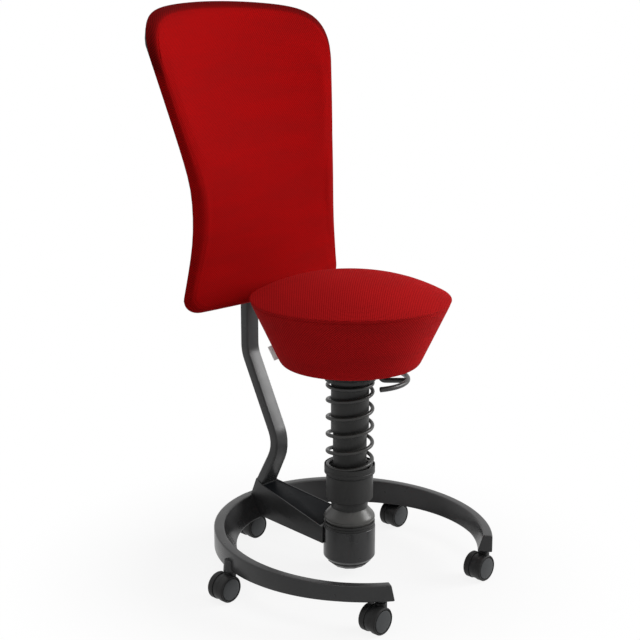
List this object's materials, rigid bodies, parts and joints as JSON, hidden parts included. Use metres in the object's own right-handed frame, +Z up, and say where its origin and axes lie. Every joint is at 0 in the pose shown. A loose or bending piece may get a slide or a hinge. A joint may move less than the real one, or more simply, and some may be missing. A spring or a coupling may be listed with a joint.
{
  "type": "sprung balance stool with backrest",
  "caption": "Sprung balance stool: padded round seat and tall backrest on a column with coil spring, gas lift and tilting ball joint, standing on a castor ring open at the front.",
  "frame": {"origin": "middle of the bounding box's footprint, on the floor", "axes": "+Z up from the floor; the sitter faces -Y and the backrest stands at +Y; the sitter's left is +X"},
  "size_m": [0.5784, 0.6302, 1.1495],
  "materials": {
    "ring_paint": "grey paint, satin",
    "cover_black": "smooth",
    "column_black": "satin",
    "tube_black": "black paint, satin",
    "cup_black": "black paint, satin",
    "rubber": "matt",
    "spring_steel": "blackened",
    "bright_steel": "bright",
    "white_plastic": "smooth",
    "label_white": "woven, blank",
    "red_fabric": "fine weave",
    "shell_black": "fine grain",
    "castor_black": "satin",
    "castor_wheel": "satin"
  },
  "bodies": {
    "base": {"ring_half_left": "ring_paint", "ring_half_right": "ring_paint", "base_arm": "ring_paint", "arm_cover": "cover_black", "back_upright": "ring_paint", "upright_foot_bolt": "bright_steel", "upright_bolt_1": "bright_steel", "upright_bolt_2": "bright_steel", "back_bracket": "column_black", "bracket_screw_1": "bright_steel", "bracket_screw_2": "bright_steel", "bracket_screw_3": "bright_steel", "bracket_screw_4": "bright_steel", "back_shell": "shell_black", "back_cushion": "red_fabric", "hub_housing": "ring_paint", "hub_collar": "column_black", "joint_boot": "rubber", "ball_seat": "column_black"},
    "adjuster": {"adjuster_knob": "ring_paint", "adjuster_spindle": "bright_steel"},
    "bowl": {"tilt_bowl": "rubber"},
    "column": {"tilt_stem": "bright_steel", "spring_cup": "cup_black", "lower_tube": "tube_black"},
    "preload": {"preload_ring": "column_black"},
    "sleeve": {"upper_tube": "tube_black", "spring_plate": "tube_black", "carrier_tube": "cup_black", "guide_bush": "white_plastic", "piston_rod": "bright_steel", "coil_spring": "spring_steel"},
    "lift": {"gas_cylinder": "bright_steel"},
    "button": {"release_button": "white_plastic"},
    "seat": {"seat_cushion": "red_fabric", "seat_plate": "tube_black", "seat_tag": "label_white", "lever_bracket": "tube_black", "lever_pin": "bright_steel"},
    "lever": {"height_lever": "tube_black"},
    "castor_back": {"castor_back_housing": "castor_black", "castor_back_stem": "bright_steel"},
    "castor_back_wheel_front": {"castor_back_wheel_front": "castor_wheel"},
    "castor_back_wheel_rear": {"castor_back_wheel_rear": "castor_wheel"},
    "castor_right_rear": {"castor_right_rear_housing": "castor_black", "castor_right_rear_stem": "bright_steel"},
    "castor_right_rear_wheel_front": {"castor_right_rear_wheel_front": "castor_wheel"},
    "castor_right_rear_wheel_rear": {"castor_right_rear_wheel_rear": "castor_wheel"},
    "castor_right_front": {"castor_right_front_housing": "castor_black", "castor_right_front_stem": "bright_steel"},
    "castor_right_front_wheel_front": {"castor_right_front_wheel_front": "castor_wheel"},
    "castor_right_front_wheel_rear": {"castor_right_front_wheel_rear": "castor_wheel"},
    "castor_left_front": {"castor_left_front_housing": "castor_black", "castor_left_front_stem": "bright_steel"},
    "castor_left_front_wheel_front": {"castor_left_front_wheel_front": "castor_wheel"},
    "castor_left_front_wheel_rear": {"castor_left_front_wheel_rear": "castor_wheel"},
    "castor_left_rear": {"castor_left_rear_housing": "castor_black", "castor_left_rear_stem": "bright_steel"},
    "castor_left_rear_wheel_front": {"castor_left_rear_wheel_front": "castor_wheel"},
    "castor_left_rear_wheel_rear": {"castor_left_rear_wheel_rear": "castor_wheel"}
  },
  "joints": [
    {"name": "tilt_fore_aft", "type": "hinge", "parent": "base", "child": "bowl", "pos_m": [0.01321, -0.06367, 0.1034], "axis": [1, 0, 0], "range_deg": [-1.5, 10], "stiffness_Nm_per_rad": 250},
    {"name": "tilt_sideways", "type": "hinge", "parent": "bowl", "child": "column", "pos_m": [0.01321, -0.06367, 0.1034], "axis": [0, 1, 0], "range_deg": [-10, 10], "stiffness_Nm_per_rad": 250},
    {"name": "tilt_adjuster_turn", "type": "hinge", "parent": "base", "child": "adjuster", "pos_m": [0.01321, -0.06367, 0.022], "axis": [0, 0, 1], "range_deg": [-180, 180]},
    {"name": "preload_turn", "type": "hinge", "parent": "column", "child": "preload", "pos_m": [0.01321, -0.06367, 0.225], "axis": [0, 0, 1], "range_deg": [-180, 180]},
    {"name": "spring_bounce", "type": "slide", "parent": "column", "child": "sleeve", "axis": [0, 0, 1], "range_m": [-0.05, 0], "stiffness_N_per_m": 18000, "springref_m": 0.03, "deforming": ["coil_spring"]},
    {"name": "height_lift", "type": "slide", "parent": "sleeve", "child": "lift", "axis": [0, 0, 1], "range_m": [0, 0.14]},
    {"name": "seat_swivel", "type": "hinge", "parent": "lift", "child": "seat", "pos_m": [0.01321, -0.06367, 0.447], "axis": [0, 0, 1], "continuous": true},
    {"name": "lever_pull", "type": "hinge", "parent": "seat", "child": "lever", "pos_m": [0.02914, -0.08162, 0.4999], "axis": [-0.7478, -0.6639, 0], "range_deg": [0, 7], "stiffness_Nm_per_rad": 0.8, "springref_deg": -6.88},
    {"name": "release_press", "type": "slide", "parent": "lift", "child": "button", "axis": [0, 0, 1], "range_m": [-0.0035, 0]},
    {"name": "castor_back_swivel", "type": "hinge", "parent": "base", "child": "castor_back", "pos_m": [0.01321, 0.21083, 0.0565], "axis": [0, 0, 1], "continuous": true},
    {"name": "castor_back_roll_front", "type": "hinge", "parent": "castor_back", "child": "castor_back_wheel_front", "pos_m": [-0.00139, 0.21083, 0.027], "axis": [0, 1, 0], "continuous": true},
    {"name": "castor_back_roll_rear", "type": "hinge", "parent": "castor_back", "child": "castor_back_wheel_rear", "pos_m": [-0.00139, 0.21083, 0.027], "axis": [0, 1, 0], "continuous": true},
    {"name": "castor_right_rear_swivel", "type": "hinge", "parent": "base", "child": "castor_right_rear", "pos_m": [-0.2476, 0.02107, 0.0565], "axis": [0, 0, 1], "continuous": true},
    {"name": "castor_right_rear_roll_front", "type": "hinge", "parent": "castor_right_rear", "child": "castor_right_rear_wheel_front", "pos_m": [-0.2622, 0.02107, 0.027], "axis": [0, 1, 0], "continuous": true},
    {"name": "castor_right_rear_roll_rear", "type": "hinge", "parent": "castor_right_rear", "child": "castor_right_rear_wheel_rear", "pos_m": [-0.2622, 0.02107, 0.027], "axis": [0, 1, 0], "continuous": true},
    {"name": "castor_right_front_swivel", "type": "hinge", "parent": "base", "child": "castor_right_front", "pos_m": [-0.14932, -0.28737, 0.0565], "axis": [0, 0, 1], "continuous": true},
    {"name": "castor_right_front_roll_front", "type": "hinge", "parent": "castor_right_front", "child": "castor_right_front_wheel_front", "pos_m": [-0.16392, -0.28737, 0.027], "axis": [0, 1, 0], "continuous": true},
    {"name": "castor_right_front_roll_rear", "type": "hinge", "parent": "castor_right_front", "child": "castor_right_front_wheel_rear", "pos_m": [-0.16392, -0.28737, 0.027], "axis": [0, 1, 0], "continuous": true},
    {"name": "castor_left_front_swivel", "type": "hinge", "parent": "base", "child": "castor_left_front", "pos_m": [0.17574, -0.28737, 0.0565], "axis": [0, 0, 1], "continuous": true},
    {"name": "castor_left_front_roll_front", "type": "hinge", "parent": "castor_left_front", "child": "castor_left_front_wheel_front", "pos_m": [0.16114, -0.28737, 0.027], "axis": [0, 1, 0], "continuous": true},
    {"name": "castor_left_front_roll_rear", "type": "hinge", "parent": "castor_left_front", "child": "castor_left_front_wheel_rear", "pos_m": [0.16114, -0.28737, 0.027], "axis": [0, 1, 0], "continuous": true},
    {"name": "castor_left_rear_swivel", "type": "hinge", "parent": "base", "child": "castor_left_rear", "pos_m": [0.27402, 0.02107, 0.0565], "axis": [0, 0, 1], "continuous": true},
    {"name": "castor_left_rear_roll_front", "type": "hinge", "parent": "castor_left_rear", "child": "castor_left_rear_wheel_front", "pos_m": [0.25942, 0.02107, 0.027], "axis": [0, 1, 0], "continuous": true},
    {"name": "castor_left_rear_roll_rear", "type": "hinge", "parent": "castor_left_rear", "child": "castor_left_rear_wheel_rear", "pos_m": [0.25942, 0.02107, 0.027], "axis": [0, 1, 0], "continuous": true}
  ],
  "couplings": [
    {"joint": "release_press", "follows": "lever_pull", "m_per_rad": -0.0265}
  ]
}
